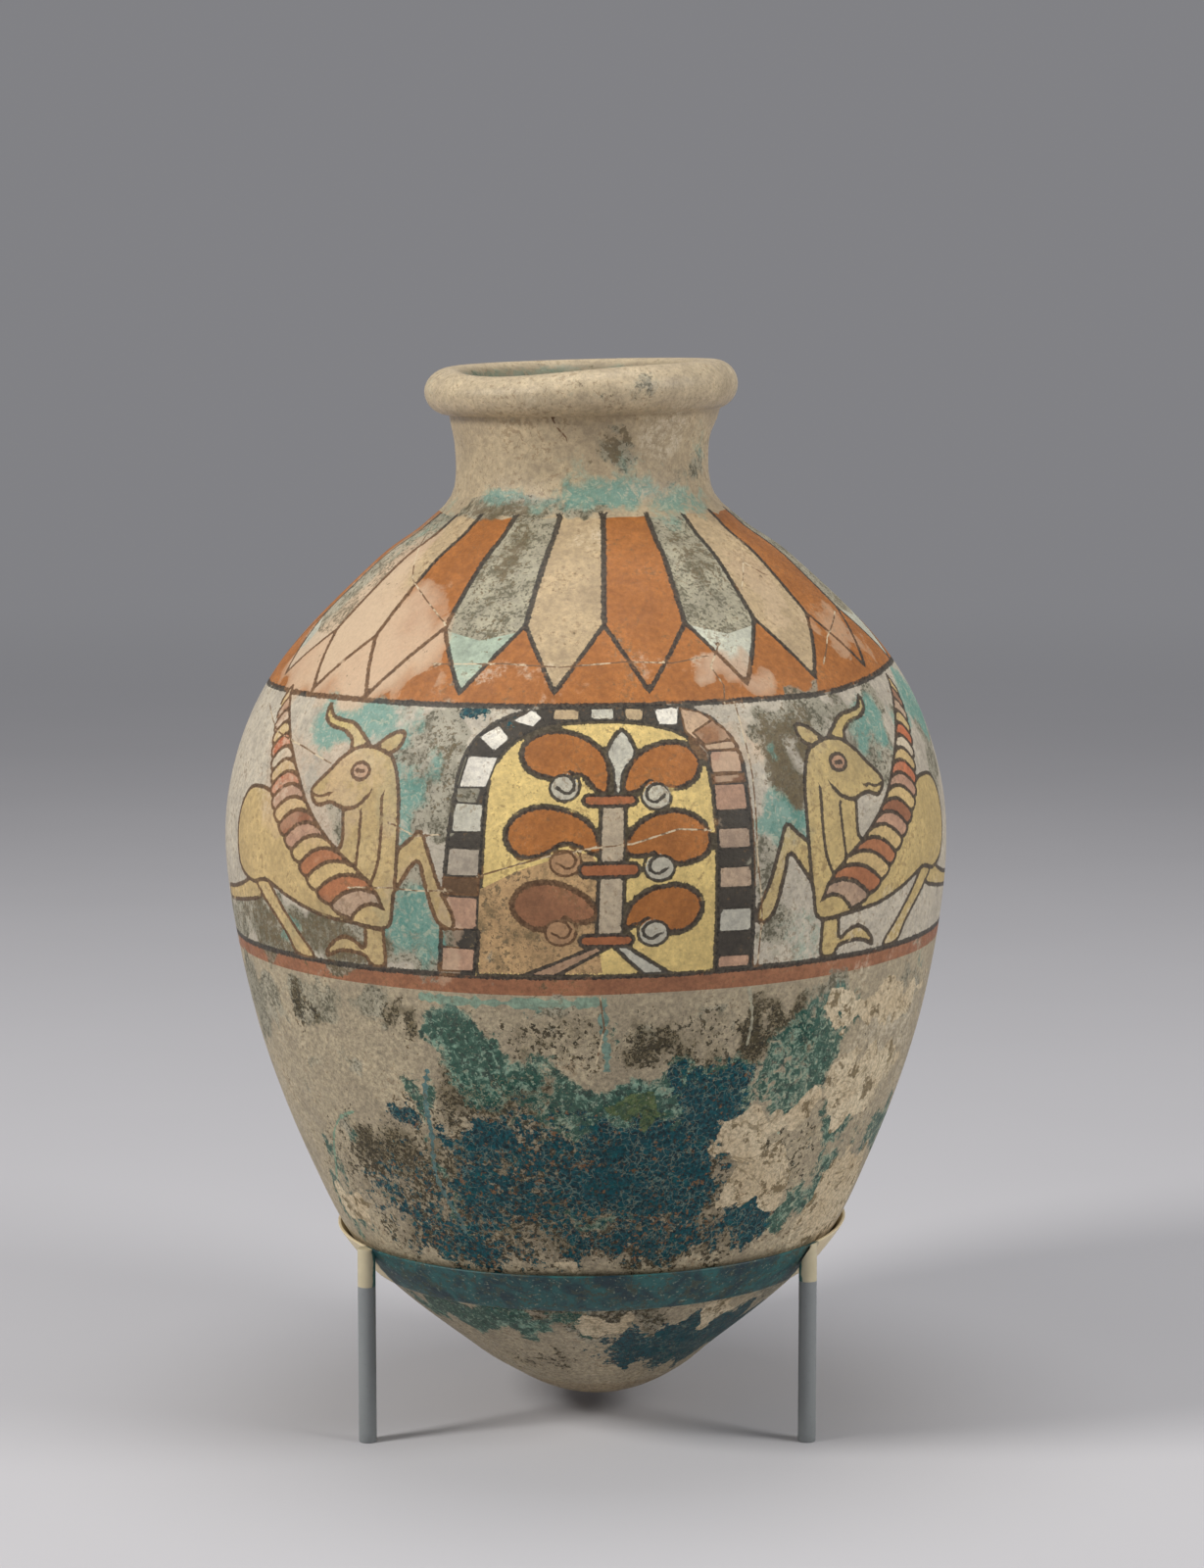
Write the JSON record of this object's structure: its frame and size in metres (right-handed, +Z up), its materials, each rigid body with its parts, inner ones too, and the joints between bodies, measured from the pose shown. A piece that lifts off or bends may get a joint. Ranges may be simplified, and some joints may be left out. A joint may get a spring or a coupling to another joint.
{
  "type": "glazed pottery jar",
  "caption": "Ancient glazed pottery storage jar with an egg-shaped body, short neck, thick rolled rim and blunt pointed base, standing in a slim painted metal cradle.",
  "frame": {"origin": "on the floor, under the middle of the jar's widest circle", "axes": "+Z up, -Y towards the front with the painted panel, +X to the right as seen from the front"},
  "size_m": [0.3011, 0.301, 0.4445],
  "materials": {
    "glazed_pottery": "worn glaze, satin, with painted polychrome decoration",
    "band_paint": "hand painted to match the jar, matt",
    "leg_paint": "satin grey paint"
  },
  "bodies": {
    "root": {"jar": "glazed_pottery", "cradle_band": "band_paint", "left_leg": "leg_paint", "right_leg": "leg_paint", "back_leg": "leg_paint"}
  },
  "joints": []
}
